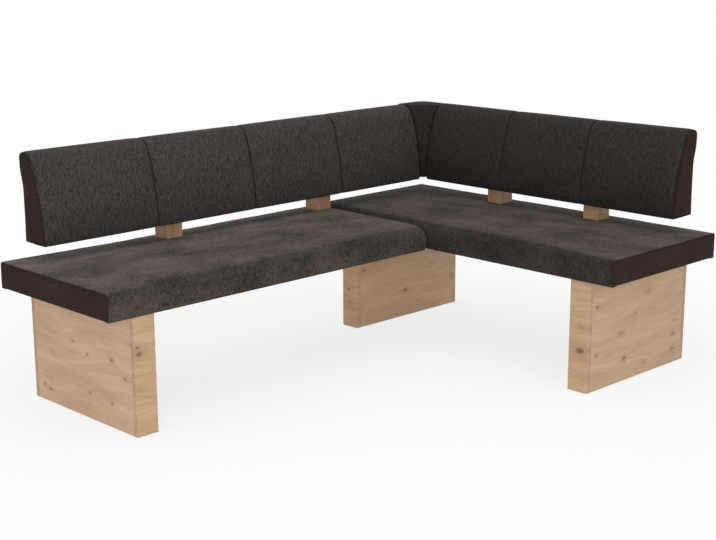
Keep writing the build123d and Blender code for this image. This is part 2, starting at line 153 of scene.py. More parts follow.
class BackSettings(bpy.types.PropertyGroup):
    """Sizes of the padded backrests."""

    fullness: length("Fullness", "Bulge of a panel between its seams before it is filled", 0.0015)
    slack: length("Slack", "How far the front starts inside its filled shape", 0.003)
    pressure: amount("Pressure", "Pressure of the filling in the cloth simulation", 4.0)
    swell: length("Swell", "Farthest that the filling pushes the cover out", 0.0045)
    crease: length("Crease", "Depth of the sewn crease at a seam", 0.0065)
    crease_width: length("Crease width", "Distance over which a crease fades", 0.006)
    # Painted shade in the creases at the backrests' seams and ends fades over this distance
    seam_width: length("Seam width", "Distance over which a seam's shade fades", 0.0043)
    pucker: length("Pucker", "Height of the small gathers along a seam", 0.0006)
    ripple: length("Ripple", "Height of the cover's slight unevenness", 0.0008)
    end_roll: length("End roll", "Length over which the front rolls in at a free end", 0.024)
    front_roll: length("Front roll", "How far the front draws back at a free end", 0.022)
    top_roll: length("Top roll", "How far the top drops at a free end", 0.005)
    side_roll: length("Side roll", "How far rear and underside draw in at a free end", 0.0025)
    corner_roll: length("Corner roll", "Radius at the end next to the corner piece", 0.008)
    corner_fall: length("Corner fall", "How much lower the long backrest gets towards the corner", 0.0036)
    end_rise: length("End rise", "How much taller the short backrest gets towards its free end", 0.0065)
    recess: length("Recess", "How far the corner piece lies behind the panels", 0.008)
    corner_bulge: length("Corner bulge", "Bulge of the corner piece's face", 0.004)
    corner_dome: length("Corner dome", "Rise of the corner piece's top over its brim", 0.0065)
    # Painted shade along the corner piece's creases fades over this distance
    corner_seam_width: length("Corner seam width", "Distance over which its seams' shade fades", 0.005)


class FinishSettings(bpy.types.PropertyGroup):
    """Colours of the finishes."""

    # Painted light: the seat yarns are the backrests' cloth made lighter, for the light on the seat tops
    seat_dark: colour("Seat dark", "Deep yarn of the seat cover", (0.0230, 0.0181, 0.0150))
    seat_light: colour("Seat light", "Light yarn of the seat cover", (0.1000, 0.0802, 0.0648))
    back_dark: colour("Back dark", "Deep yarn of the long backrest", (0.0145, 0.0115, 0.0102))
    back_light: colour("Back light", "Light yarn of the long backrest", (0.0590, 0.0485, 0.0430))
    # Painted shade: the shade yarns are the long backrest's cloth made darker, for the short backrest and
    # the corner
    shade_dark: colour("Shade dark", "Deep yarn of short backrest and corner", (0.0077, 0.0062, 0.0053))
    shade_light: colour("Shade light", "Light yarn of short backrest and corner", (0.0302, 0.0240, 0.0203))
    brown: colour("Brown", "Plain cloth of the end panels", (0.0275, 0.0148, 0.0116))
    oak: colour("Oak", "Pale ground of the oak decor", (0.590, 0.402, 0.259))
    oak_band: colour("Oak band", "Darker bands of the oak decor", (0.360, 0.223, 0.126))
    oak_knot: colour("Oak knot", "Knots and cracks of the oak decor", (0.200, 0.088, 0.040))
    post: colour("Post", "Ground of the solid oak posts", (0.430, 0.276, 0.154))
    post_band: colour("Post band", "Darker bands of the posts", (0.225, 0.130, 0.065))


class StageSettings(bpy.types.PropertyGroup):
    """Light and floor."""

    sky: amount("Sky", "Strength of the even light from all sides", 0.66)
    key: amount("Key", "Power of the large lamp in front", 220.0)
    top: amount("Top", "Power of the large lamp overhead", 40.0)
    floor: colour("Floor", "Pale floor", (0.90, 0.90, 0.90))
    veil: FloatProperty(
        name="Veil",
        description="Share of plain white over the floor's shading",
        default=0.78,
        subtype="FACTOR",
    )


# Meshes


def bench_point(run, along, depth, height):
    """Points in space from the distance along a bench, the depth from its rear edge and the height."""
    if run == "long":
        x, y = corner_x - along, corner_y - depth
    else:
        x, y = corner_x - depth, corner_y - along
    return np.stack(np.broadcast_arrays(x, y, height), axis=-1)


def soft_outline(points, cuts, steps=2):
    """Closed outlines with soft corners.

    Each corner point P is the control point of a parabola (1-t)^2 A + 2t(1-t) P + t^2 B, where A and B lie
    on its two sides, at its cut length from P or at the middle of the side, whichever is nearer.
    """
    back = np.roll(points, 1, axis=1) - points
    forth = np.roll(points, -1, axis=1) - points
    back_length = np.linalg.norm(back, axis=-1, keepdims=True)
    forth_length = np.linalg.norm(forth, axis=-1, keepdims=True)
    reach = np.broadcast_to(cuts, points.shape[:2])[..., None]
    start = points + back / back_length * np.minimum(back_length / 2, reach)
    end = points + forth / forth_length * np.minimum(forth_length / 2, reach)
    t = ((np.arange(steps) + 0.5) / steps)[None, None, :, None]
    curve = (1 - t) ** 2 * start[:, :, None] + 2 * t * (1 - t) * points[:, :, None] + t**2 * end[:, :, None]
    return curve.reshape(len(points), -1, points.shape[-1])


def girth(loops):
    """Distance round each loop from its first point, with the full girth as the last value."""
    closed = np.concatenate([loops, loops[:, :1]], axis=1)
    step = np.linalg.norm(np.diff(closed, axis=1), axis=-1)
    return np.concatenate([np.zeros((len(loops), 1)), np.cumsum(step, axis=1)], axis=1)


def skin(name, rings, cloth, seam, finish):
    """Closed piece over a stack of rings with a flat cap on the first and last.

    It carries its cloth map in metres and, as an attribute, the strength of the painted shade in its
    creases by how near each point is to a seam.
    """
    count, size = rings.shape[:2]
    here = np.arange(count * size).reshape(count, size)
    beside = np.roll(here, -1, axis=1)
    quads = np.stack([here[:-1], beside[:-1], beside[1:], here[1:]], axis=-1).reshape(-1, 4)
    mesh = bpy.data.meshes.new(name)
    caps = [here[0, ::-1].tolist(), here[-1].tolist()]
    mesh.from_pydata(rings.reshape(-1, 3).tolist(), [], quads.tolist() + caps)
    left, right = cloth[:, :-1], cloth[:, 1:]
    side_map = np.stack([left[:-1], right[:-1], right[1:], left[1:]], axis=-2).reshape(-1, 2)
    cap_map = np.concatenate([left[0, ::-1], left[-1]])
    mesh.uv_layers.new(name="cloth").data.foreach_set("uv", np.concatenate([side_map, cap_map]).ravel())
    mesh.polygons.foreach_set("use_smooth", np.arange(len(quads) + 2) < len(quads))
    shell = bmesh.new()
    shell.from_mesh(mesh)
    bmesh.ops.recalc_face_normals(shell, faces=shell.faces)
    shell.to_mesh(mesh)
    shell.free()
    painted_crease_shade = np.broadcast_to(seam, (count, size)).astype(np.float32)
    mesh.attributes.new("seam", "FLOAT", "POINT").data.foreach_set("value", painted_crease_shade.ravel())
    mesh.materials.append(finish)
    piece = bpy.data.objects.new(name, mesh)
    bpy.context.scene.collection.objects.link(piece)
    return piece


def corners(mesh):
    """Places of a mesh's points."""
    spots = np.empty(3 * len(mesh.vertices), dtype=np.float32)
    mesh.vertices.foreach_get("co", spots)
    return spots.reshape(-1, 3)


def swell(piece, held, pressure, limit):
    """Fill a padded piece by cloth simulation and keep the shape it ends in.

    Air presses from within on the points that aren't held at seams, hems and hidden sides. Where the
    farthest point moves more than the limit, all moves are scaled down to it.
    """
    scene, mesh = bpy.context.scene, piece.data
    start = corners(mesh)
    group = piece.vertex_groups.new(name="held")
    group.add(np.flatnonzero(held).tolist(), 1.0, "REPLACE")
    cloth = piece.modifiers.new("swell", "CLOTH")
    cloth.collision_settings.use_collision = False
    cloth.point_cache.frame_start, cloth.point_cache.frame_end = 1, swell_steps
    rules = cloth.settings
    rules.use_pressure, rules.uniform_pressure_force = True, pressure
    rules.effector_weights.gravity = 0
    rules.vertex_group_mass = group.name
    for step in range(1, swell_steps + 1):
        scene.frame_set(step)
    move = corners(piece.evaluated_get(bpy.context.evaluated_depsgraph_get()).data) - start
    piece.modifiers.remove(cloth)
    piece.vertex_groups.remove(group)
    scene.frame_set(1)
    share = min(1.0, limit / np.linalg.norm(move, axis=1).max())
    mesh.vertices.foreach_set("co", (start + np.float32(share) * move).ravel())
    mesh.update()


def upholster(piece, slot, fill, *nodes):
    """Fix a padded piece to the bench in place of its solids."""
    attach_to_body(piece, "root")
    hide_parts(*nodes)


def bench_span(run, node):
    """Two distances along a bench between which a node lies."""
    low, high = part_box(node)
    axis, corner = (0, corner_x) if run == "long" else (1, corner_y)
    return corner - high[axis], corner - low[axis]


def depth_span(run, node):
    """Two depths from a bench's rear edge between which a node lies."""
    low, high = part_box(node)
    axis, corner = (1, corner_y) if run == "long" else (0, corner_x)
    return corner - high[axis], corner - low[axis]


def round_in(distance, reach):
    """Quarter circle: 0 from the reach onward, rising to 1 at distance 0."""
    inside = 1 - np.clip(distance / reach, 0, 1)
    return 1 - np.sqrt(1 - inside**2)


def edge_stops(reach, count=7):
    """Distances from an end at which its quarter circle is cut, evenly spaced by angle."""
    return reach * (1 - np.cos(np.linspace(0, np.pi / 2, count)))


def ease(value):
    """Smooth step 3t^2 - 2t^3 of a value held between 0 and 1."""
    held = np.clip(value, 0, 1)
    return held * held * (3 - 2 * held)


def ripple(a, b, seed):
    """Slight unevenness between -1 and 1: three crossed sine waves with phases from a seed."""
    phase = np.random.default_rng(seed).uniform(0, full_turn, 6)
    wave = np.sin(a * 19 + 5 * b + phase[0]) * np.sin(b * 17 + phase[1])
    wave = wave + 0.6 * np.sin(a * 41 - 23 * b + phase[2]) * np.sin(b * 37 + 11 * a + phase[3])
    return (wave + 0.4 * np.sin(a * 83 + phase[4]) * np.sin(b * 71 + phase[5])) / 2


def end_panel(name, run, far, loop, spine, shade, finish):
    """Brown end panel: an end outline shrinking towards the spine inside it, with a rounded sewn rim that
    carries painted shade.

    Each ring keeps a share of the outline's distance from the spine and lies a step out from the end.
    """
    share = np.array([0.3, 0.975, 0.975, 0.97, 0.955, 0.92, 0.83, 0.66, 0.42, 0.2])
    out = np.array([-5, -5, -2, -0.6, 0.1, 0.6, 1.0, 1.3, 1.5, 1.6]) / 1000
    # Painted shade in the crease round the rim, times the shade given
    seam = np.array([1, 1, 1, 1, 0.6, 0.15, 0, 0, 0, 0])
    loops = spine + (loop - spine) * share[:, None, None]
    rings = bench_point(run, (far + out)[:, None], loops[..., 0], loops[..., 1])
    cloth = np.concatenate([loops, loops[:, :1]], axis=1)
    return skin(name, rings, cloth, shade * seam[:, None], finish)


# Seats


# Fixed sizes of the seats in metres
seat_step = 0.009
joint_zone = 0.03
end_zone = 0.02
dip_reach = 0.014
under_inset = 0.002
underside_lift = 0.0035
rear_hem_round = 0.004
front_hem_round = 0.006
fold_round = 0.001


def seat_loops(run, along, inset, under, lift):
    """Outlines across a seat: underside with hems, upright rear, flat top and a quarter ellipse in front.

    The top rises by crown (1 - q^4) with q from -1 at the rear to 1 at the front, fading towards both ends,
    and dips round each post by exp(-(gap / dip_reach)^2). The long seat's top falls to its rear edge by a
    smooth step. The front edge is softer away from the free end.
    """
    look = bpy.context.scene.bench_seat
    low_box, high_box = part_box(f"{run}_seat_cover")
    near, far = bench_span(run, f"{run}_seat_cover")
    deep = depth_span(run, f"{run}_seat_cover")[1]
    along, inset, under = along[:, None], inset[:, None], under[:, None]
    low, rear, front = low_box.z + under, inset, deep - inset
    soft = ease((far - along) / look.soft_reach)
    bend = look.end_front_round + (look.front_round - look.end_front_round) * soft
    depth = rear + (front - bend - rear) * np.linspace(0.03, 1, 30)
    middle = soft * ease((along - near) / look.soft_reach)
    top = high_box.z - look.edge_drop - inset + look.crown * middle * (1 - (2 * depth / deep - 1) ** 4)
    top = top + look.ripple * middle * ripple(along, depth, 3)
    if run == "long":
        fade = ease((far - along) / look.fall_reach)
        top = top - look.rear_fall * fade * ease(1 - depth / look.fall_depth)
    for end in ("corner", "end"):
        wide, thick = bench_span(run, f"{run}_{end}_post"), depth_span(run, f"{run}_{end}_post")
        beside = np.maximum(abs(along - sum(wide) / 2), abs(depth - sum(thick) / 2))
        gap = np.maximum(beside - (thick[1] - thick[0]) / 2, 0)
        top = top - look.post_dip * np.exp(-((gap / dip_reach) ** 2))
    turn = np.linspace(0, np.pi / 2, 11)[1:]
    bend_height = top[:, -1:] - look.front_squash * bend * (1 - np.cos(turn))
    rise = np.linspace(0, 1, 6)
    fall = rise[1:]
    fold = look.hem + fold_round
    across = front - fold + (rear - front + 2 * fold) * np.linspace(0, 1, 8)
    sides = [
        (rear + 0 * rise, low + (top[:, :1] - low) * rise),
        (depth, top),
        (front - bend * (1 - np.sin(turn)), bend_height),
        (
            front - look.tuck * fall + look.front_belly * np.sin(np.pi * fall),
            bend_height[:, -1:] + (low - bend_height[:, -1:]) * fall,
        ),
        (front - look.hem, low),
        (across, low + lift + 0 * across),
        (rear + look.hem, low),
    ]
    cuts = np.ones(sum(height.shape[1] for _, height in sides))
    top_start, front_end = len(rise), len(rise) + depth.shape[1] + len(turn) + len(fall)
    cuts[[0, top_start - 1, front_end - 1]] = rear_hem_round, look.rear_round, front_hem_round
    cuts[front_end:] = fold_round
    points = np.stack([np.concatenate(parts, axis=1) for parts in zip(*sides)], axis=-1)
    return soft_outline(points, cuts)


def seat_piece(run, finish):
    """Seat cushion: the seat outlines along the bench, drawn in by a quarter circle at each end.

    While it is filled, the cover is held at its ends, under and behind the backrest, and at its lower edge.
    """
    look = bpy.context.scene.bench_seat
    near, far = bench_span(run, f"{run}_seat_cover")
    near_round = look.joint_round if run == "long" else look.rear_round
    far_round = look.end_round
    body = np.linspace(near + joint_zone, far - end_zone, int((far - near) / seat_step))
    along = np.concatenate([near + edge_stops(near_round, 9), body, far - edge_stops(far_round)[::-1]])
    inset = near_round * round_in(along - near, near_round)
    inset = inset + far_round * round_in(far - along, far_round)
    along = np.append(along, far - lip_depth)
    inset = np.append(inset, far_round + 0.1 * lip_depth)
    loops = seat_loops(run, along, inset, np.minimum(inset, under_inset), underside_lift)
    depth, height = loops[..., 0], loops[..., 1]
    rings = bench_point(run, along[:, None], depth, height)
    cloth = np.stack(np.broadcast_arrays(along[:, None], girth(loops)), axis=-1)
    end_gap = np.minimum(far - along, along - near)[:, None]
    # Painted shade in the creases at both ends of the cover
    seam = look.seam_shade * np.exp(-((end_gap / look.seam_width) ** 2))
    cushion = skin(f"{run}_seat_cushion", rings, cloth, seam, finish)
    end_margin, post_margin, hem_margin = 0.008, 0.015, 0.010
    behind_posts = max(depth_span(run, f"{run}_end_post")) + post_margin
    held = (end_gap < end_margin) | (depth < behind_posts) | (height < height.min() + hem_margin)
    swell(cushion, held, look.pressure, look.swell)
    return cushion


def seat_end_piece(run, finish):
    """Brown panel over the free end of a seat."""
    look = bpy.context.scene.bench_seat
    far = bench_span(run, f"{run}_seat_cover")[1]
    rim = np.array([look.end_round])
    loop = seat_loops(run, np.array([far]), rim, np.minimum(rim, under_inset), 0.0)[0]
    low, high = loop.min(axis=0), loop.max(axis=0)
    margin = (high[1] - low[1]) / 2
    depth = np.clip(loop[:, 0], low[0] + margin, high[0] - margin)
    spine = np.stack([depth, 0 * depth + (low[1] + high[1]) / 2], axis=-1)
    return end_panel(f"{run}_seat_end", run, far, loop, spine, look.seam_shade, finish)


class BENCH_OT_seats(bpy.types.Operator):
    """Make the two seat cushions with their brown end panels"""

    bl_idname = "bench.seats"
    bl_label = "Seat cushions"

    def execute(self, context):
        look = context.scene.bench_finish
        brown = brown_finish()
        # Painted shade by facing: full colour on the level top, less on the upright front and least on the
        # front bend
        facing_shades = {"long": (0.93, 0.998, 0.60, 0.48), "short": (0.95, 0.9995, 0.37, 0.30)}
        # Painted light and shade: the long seat's yarn made lighter and the short seat's darker and warmer,
        # as lit and shaded copies of one cloth
        lit_and_shaded_tints = {"long": (1.05, 1.05, 1.05), "short": (0.91, 0.885, 0.845)}
        # Painted light at each seat's rear edge, lightening the shade under the backrest
        rear_light_gains = {"long": 1.6, "short": 1.08}
        for run in runs:
            yarns = [tinted(yarn, lit_and_shaded_tints[run]) for yarn in (look.seat_dark, look.seat_light)]
            woven = woven_finish(f"woven {run} seat", *yarns, brushed=0.9, nap=facing_shades[run], rear=rear_light_gains[run])
            upholster(seat_piece(run, woven), "woven_fabric", 0.9, f"{run}_seat_cover", f"{run}_seat_foam")
            upholster(seat_end_piece(run, brown), "brown_fabric", 0.95, f"{run}_seat_end_panel")
        return {"FINISHED"}


# Backrests


# Backrest front: depth at its foot in metres, lean, and curve per metre
back_foot = 0.152
back_lean = 0.025
back_curve = 0.579


def back_front(height):
    """Depth of a backrest's front over its underside: a parabola that leans back more and more."""
    return back_foot - back_lean * height - back_curve * height**2


# Backrest outline in metres: depth from the bench's rear edge and height over the backrest's underside
front_heights = np.linspace(0, 0.255, 9)
crest = np.array([(0.0985, 0.2765), (0.0885, 0.2885), (0.076, 0.2965), (0.061, 0.3015), (0.046, 0.3035)])
rear_roll = np.array(
    [(0.030, 0.302), (0.0155, 0.297), (0.015, 0.262), (0.016, 0.238), (0.022, 0.210), (0.0275, 0.186)]
)
rear_face = np.array([(0.028, 0.160), (0.028, 0.110), (0.028, 0.055)])
underside = np.array([(0.028, 0.0), (0.060, 0.0), (0.105, 0.0)])
front_side = np.concatenate([np.stack([back_front(front_heights), front_heights], axis=-1), crest])
rear_side = np.concatenate([rear_roll, rear_face])
back_profile = np.concatenate([underside, front_side, rear_side])
back_tall = back_profile[:, 1].max()


def back_shares():
    """How far the draw at a seam, over the top, at a free end and at the rear works on each point."""
    depth, height = back_profile.T
    before = np.arange(len(depth)) < len(underside) + len(front_side)
    front = np.where(before, np.interp(depth, [0.046, 0.098], [0, 1]), 0)
    top = np.interp(height, [0.21, 0.28], [0, 1])
    end = front * np.interp(height, [0, 0.03, 0.1, 0.17], [0.1, 0.5, 0.68, 1])
    rear = np.where(before, 0, 1 - top)
    return front, top, end, rear


def back_seams(run):
    """Distances along a bench of its backrest's near end, seams and free end."""
    count = sum(node.startswith(f"{run}_back_cover_") for node in frame["nodes"])
    spans = [bench_span(run, f"{run}_back_cover_{panel}") for panel in range(1, count + 1)]
    return np.array([spans[0][0]] + [far for _, far in spans])


def back_stations(seams):
    """Places along a backrest at which it is cut: even steps, closer at the seams and ends."""
    look = bpy.context.scene.bench_back
    roll_zone, seam_zone, step = 0.03, 0.037, 0.0095
    beside = np.array([0, 0.8, 2, 3.5, 5.5, 8, 12, 17, 24, 32]) / 1000
    creases = (seams[1:-1, None] + np.concatenate([-beside, beside[1:]])).ravel()
    body = np.arange(seams[0] + roll_zone, seams[-1] - roll_zone, step)
    body = body[np.min(abs(body[:, None] - seams[1:-1]), axis=1) > seam_zone]
    ends = [seams[0] + edge_stops(look.corner_roll, 8), seams[-1] - edge_stops(look.end_roll, 12)]
    return np.unique(np.round(np.concatenate([creases, body, *ends]), 6))


def seam_gap(along, seams):
    """Which seam is nearest to each place along a backrest, and how far away it is."""
    nearest = np.argmin(abs(along[:, None] - seams[1:-1]), axis=1)
    return nearest, along - seams[1:-1][nearest]


# Fixed sizes of the backrests in metres, and the share of the last outline that its lip keeps
gather_step = 0.034
gather_reach = 0.018
underside_height = 0.01
lip_share = 0.985


def back_loops(run, along, seams):
    """Outlines across a backrest at distances along it.

    The front starts slack and is drawn in by fullness |2t - 1|^2.5 for t from 0 to 1 across a panel, by
    crease exp(-x / width) at a distance x from a seam, by small sine gathers that fade from it, and by a
    quarter circle at each end. Heights are stretched a little: the long backrest's top falls towards the
    corner by a smooth step, and the short one's rises with the square of the distance.
    """
    look = bpy.context.scene.bench_back
    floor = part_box(f"{run}_back_cover_1")[0].z
    panel = np.clip(np.searchsorted(seams, along, side="right") - 1, 0, len(seams) - 2)
    t = (along - seams[panel]) / (seams[panel + 1] - seams[panel])
    last_half = (panel == len(seams) - 2) & (t > 0.5)
    pillow = abs(2 * t - 1) ** 2.5 * np.where(last_half, 0.3, 1)
    nearest, gap = seam_gap(along, seams)
    crease = look.crease * np.exp(-abs(gap) / look.crease_width)
    end = round_in(seams[-1] - along, look.end_roll)[:, None]
    start = round_in(along - seams[0], look.corner_roll)
    depth, height = back_profile.T[:, None, :]
    share = (along - seams[0]) / (seams[-1] - seams[0])
    lift = look.end_rise * share**2 if run == "short" else -look.corner_fall * ease(2 - 2 * share)
    height = height * (1 + lift[:, None] / back_tall)
    front, top, end_share, rear = back_shares()
    turn = nearest[:, None]
    beat = full_turn * height / gather_step + 2.1 * turn + 1.4 * np.sin(height * 71 + turn)
    fade = np.exp(-abs(gap) / gather_reach)[:, None]
    gather = look.pucker * fade * np.sin(beat + (gap > 0)[:, None])
    draw = (look.slack + look.fullness * pillow + crease + look.corner_roll * start)[:, None]
    wave = look.ripple * ripple(along[:, None], height, 11)
    depth = depth - front * (draw + gather + wave) - end_share * look.front_roll * end
    depth = depth + rear * look.side_roll * end
    low = height < underside_height
    drop = 0.35 * draw + 0.5 * look.corner_roll * start[:, None] + look.top_roll * end
    height = height - top * drop + low * (1 - front) * look.side_roll * end
    cuts = np.ones(len(back_profile))
    front_foot, rear_crest = len(underside), len(underside) + len(front_side) + 1
    cuts[[0, front_foot, rear_crest]] = 0.004, 0.008, 0.012
    return soft_outline(np.stack([depth, floor + height], axis=-1), cuts)


def back_spine(loop):
    """Line inside a backrest's end towards which its outline shrinks, leaning back with share^1.5."""
    foot_margin, crest_margin = 0.055, 0.045
    foot, lean = 0.082, 0.034
    low, high = loop[:, 1].min(), loop[:, 1].max()
    height = np.clip(loop[:, 1], low + foot_margin, high - crest_margin)
    share = (height - low) / (high - low)
    return np.stack([foot - lean * share**1.5, height], axis=-1)


def back_piece(run, finish):
    """Backrest padding: the backrest outlines from the corner piece to the free end, with sewn creases.

    While it is filled, the cover is held at seams and ends, at its rear and at its underside.
    """
    look = bpy.context.scene.bench_back
    seams = back_seams(run)
    along = back_stations(seams)
    loops = back_loops(run, along, seams)
    spine = back_spine(loops[-1])
    lip = spine + (loops[-1] - spine) * lip_share
    loops = np.concatenate([loops, lip[None]])
    to_ends = np.minimum(seams[-1] - along, along - seams[0])
    gap = np.append(np.minimum(abs(seam_gap(along, seams)[1]), to_ends), 0)[:, None]
    along = np.append(along, seams[-1] - lip_depth)
    depth, height = loops[..., 0], loops[..., 1]
    rings = bench_point(run, along[:, None], depth, height)
    cloth = np.stack(np.broadcast_arrays(along[:, None], girth(loops)), axis=-1)
    # Painted shade in the creases at the seams and ends
    seam = np.exp(-((gap / look.seam_width) ** 2))
    padding = skin(f"{run}_backrest", rings, cloth, seam, finish)
    seam_margin, rear_margin, hem_margin = 0.003, 0.034, 0.004
    held = (gap < seam_margin) | (depth < rear_margin) | (height < height.min() + hem_margin)
    swell(padding, held, look.pressure, look.swell)
    return padding


def back_end_piece(run, finish):
    """Brown panel over the free end of a backrest."""
    seams = back_seams(run)
    loop = back_loops(run, seams[-1:], seams)[0]
    return end_panel(f"{run}_backrest_end", run, seams[-1], loop, back_spine(loop), 1.0, finish)


class BENCH_OT_backrests(bpy.types.Operator):
    """Make the two sewn backrests with their brown end panels"""

    bl_idname = "bench.backrests"
    bl_label = "Backrests"

    def execute(self, context):
        look = context.scene.bench_finish
        brown = brown_finish()
        # The short backrest takes the shade yarns, painted darker than the long backrest's
        yarns = {"long": (look.back_dark, look.back_light), "short": (look.shade_dark, look.shade_light)}
        # Painted shade by facing: each backrest's upright front darker than its top
        facing_shades = {"long": (0.03, 0.17, 0.78, 0.78), "short": (0.03, 0.2, 0.60, 0.60)}
        for run in runs:
            woven = woven_finish(f"woven {run} back", *yarns[run], brushed=0.14, nap=facing_shades[run])
            solids = [node for node in sorted(frame["nodes"]) if node.startswith(f"{run}_back_cover_")]
            solids += [f"{run}_back_foam", f"{run}_back_rear_cover"]
            upholster(back_piece(run, woven), "woven_fabric", 0.85, *solids)
            upholster(back_end_piece(run, brown), "brown_fabric", 0.95, f"{run}_back_end_panel")
        return {"FINISHED"}


# Corner piece


# Points across the corner piece's face, steps round each point, and fixed sizes in metres
face_points = 9
arc_steps = 4
corner_gap = 0.001
corner_cut = 0.006
corner_shoulder = 0.25
corner_middle = 0.085


def corner_loops(height):
    """Plans of the corner piece at heights above the backrest's underside.

    Two rear sides, two sides against the backrests, and a face across the corner that bulges by
    corner_bulge (1 - s^2). The face follows the backrest fronts, a recess behind them, and the rear corner
    gets rounder towards the top.
    """
    look = bpy.context.scene.bench_back
    height = height[:, None]
    front = np.interp(height, front_side[:, 1], front_side[:, 0]) - look.recess
    rear = np.interp(height, rear_side[::-1, 1], rear_side[::-1, 0])
    wide = back_seams("long")[0] - corner_gap + 0 * height
    s = np.linspace(-1, 1, face_points)
    bulge = look.corner_bulge * (1 - s**2)
    face_x = front + (wide - front) * (1 + s) / 2 + bulge
    face_y = wide + (front - wide) * (1 + s) / 2 + bulge
    x = np.concatenate([face_x, wide, rear, rear], axis=1)
    y = np.concatenate([face_y, rear, rear, wide], axis=1)
    cuts = np.ones((len(height), x.shape[1]))
    cuts[:, [0, face_points - 1, face_points, face_points + 2]] = corner_cut
    cuts[:, face_points + 1] = np.interp(height[:, 0], [0.20, back_tall], [0.012, 0.060])
    return soft_outline(np.stack([x, y], axis=-1), cuts, arc_steps)


def corner_piece(finish):
    """Corner padding: its plans stacked in height, drawn in at the underside and domed over the top.

    Below, the plans shrink towards the piece's middle by a quarter round; above, by a share s while the
    height grows with 1 - s^2.
    """
    look = bpy.context.scene.bench_back
    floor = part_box("long_back_cover_1")[0].z
    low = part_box("corner_cover")[0].z - floor
    brim = back_tall - look.corner_dome
    lower = np.linspace(low + corner_cut, corner_shoulder, 26)[:-1]
    upper = corner_shoulder + (brim - corner_shoulder) * np.sin(np.linspace(0, 1, 14) * np.pi / 2)
    turn = np.linspace(0, np.pi / 2, 5)[:-1]
    below = low + corner_cut * (1 - np.cos(turn))
    share = np.array([0.97, 0.92, 0.84, 0.74, 0.62, 0.48, 0.34, 0.2, 0.08])
    above = brim + look.corner_dome * (1 - share**2)
    height = np.concatenate([below, lower, upper, above])
    full = np.ones(len(lower) + len(upper))
    scale = np.concatenate([1 - 0.05 * (1 - np.sin(turn)), full, share])[:, None, None]
    loops = corner_loops(np.clip(height, low + corner_cut, brim))
    loops = corner_middle + (loops - corner_middle) * scale
    x, y = corner_x - loops[..., 0], corner_y - loops[..., 1]
    rings = np.stack(np.broadcast_arrays(x, y, floor + height[:, None]), axis=-1)
    cloth = np.stack(np.broadcast_arrays(girth(loops), height[:, None]), axis=-1)
    # Painted shade along the two creases where the face meets the backrests
    crease = loops[:, [0, face_points * arc_steps - 1], None, :]
    gap = np.linalg.norm(loops[:, None] - crease, axis=-1).min(axis=1)
    seam = np.exp(-((gap / look.corner_seam_width) ** 2))
    return skin("corner_cushion", rings, cloth, seam, finish)


class BENCH_OT_corner(bpy.types.Operator):
    """Make the wedge-shaped corner piece between the backrests"""

    bl_idname = "bench.corner"
    bl_label = "Corner piece"

    def execute(self, context):
        look = context.scene.bench_finish
        # Painted shade: the short backrest's yarns made darker for the corner piece in its recess, and its
        # upright face darker by facing
        yarns = [tinted(yarn, 0.70) for yarn in (look.shade_dark, look.shade_light)]
        woven = woven_finish("woven corner", *yarns, brushed=0.14, nap=(0.03, 0.2, 0.7, 0.7))
        upholster(corner_piece(woven), "woven_fabric", 0.8, "corner_cover", "corner_foam")
        return {"FINISHED"}


# Finishes


def tinted(shade, tint):
    """Colour times a tint."""
    return tuple(np.multiply(shade, tint))


def attach(tree, node, inputs):
    """Fill a node's inputs, each linked from a socket or set to a value."""
    for name, value in inputs.items():
        if isinstance(value, bpy.types.NodeSocket):
            tree.links.new(value, node.inputs[name])
        else:
            node.inputs[name].default_value = value


def place(tree, kind, inputs=None, **settings):
    """New node of a kind with its settings and inputs."""
    node = tree.nodes.new(kind)
    for name, value in settings.items():
        setattr(node, name, value)
    attach(tree, node, inputs or {})
    return node


def object_spot(tree):
    """Coordinates in the bench's own frame."""
    return place(tree, "ShaderNodeTexCoord").outputs["Object"]


def split(tree, vector):
    """Three parts of a vector."""
    return place(tree, "ShaderNodeSeparateXYZ", {"Vector": vector}).outputs


def number(tree, operation, first, second=0.0, clamp=False):
    """Math node between two sockets or values."""
    inputs = {0: first, 1: second}
    return place(tree, "ShaderNodeMath", inputs, operation=operation, use_clamp=clamp).outputs[0]


def plus(tree, first, second, clamp=False):
    """Sum of two sockets or values."""
    return number(tree, "ADD", first, second, clamp)


def times(tree, first, second):
    """Product of two sockets or values."""
    return number(tree, "MULTIPLY", first, second)


def spread(tree, value, low, high, start=0.0, end=1.0):
    """Value brought from one range to another and held there."""
    inputs = {"Value": value, "From Min": low, "From Max": high, "To Min": start, "To Max": end}
    return place(tree, "ShaderNodeMapRange", inputs).outputs["Result"]


def grainy(tree, vector, stretch, detail=3.0, rough=0.6):
    """Noise value on coordinates that are stretched by a factor on each axis, in grains a metre."""
    scaled = place(tree, "ShaderNodeMapping", {"Vector": vector, "Scale": stretch}).outputs["Vector"]
    inputs = {"Vector": scaled, "Scale": 1.0, "Detail": detail, "Roughness": rough}
    return place(tree, "ShaderNodeTexNoise", inputs).outputs["Fac"]


def blend(tree, factor, first, second, mode="MIX"):
    """Colour mixed from two colours or sockets."""
    full = [value if isinstance(value, bpy.types.NodeSocket) else (*value, 1) for value in (first, second)]
    inputs = {0: factor, 6: full[0], 7: full[1]}
    return place(tree, "ShaderNodeMix", inputs, data_type="RGBA", blend_type=mode).outputs[2]


def effect(name, inputs, outputs):
    """Empty shader node group with named sockets; gives the group, its inputs and its output node."""
    group = bpy.data.node_groups.new(name, "ShaderNodeTree")
    group.interface.new_socket("Vector", in_out="INPUT", socket_type="NodeSocketVector")
    for label, default in inputs.items():
        socket = group.interface.new_socket(label, in_out="INPUT", socket_type="NodeSocketFloat")
        socket.default_value = default
    for label in outputs:
        group.interface.new_socket(label, in_out="OUTPUT", socket_type="NodeSocketFloat")
    return group, group.nodes.new("NodeGroupInput").outputs, group.nodes.new("NodeGroupOutput")


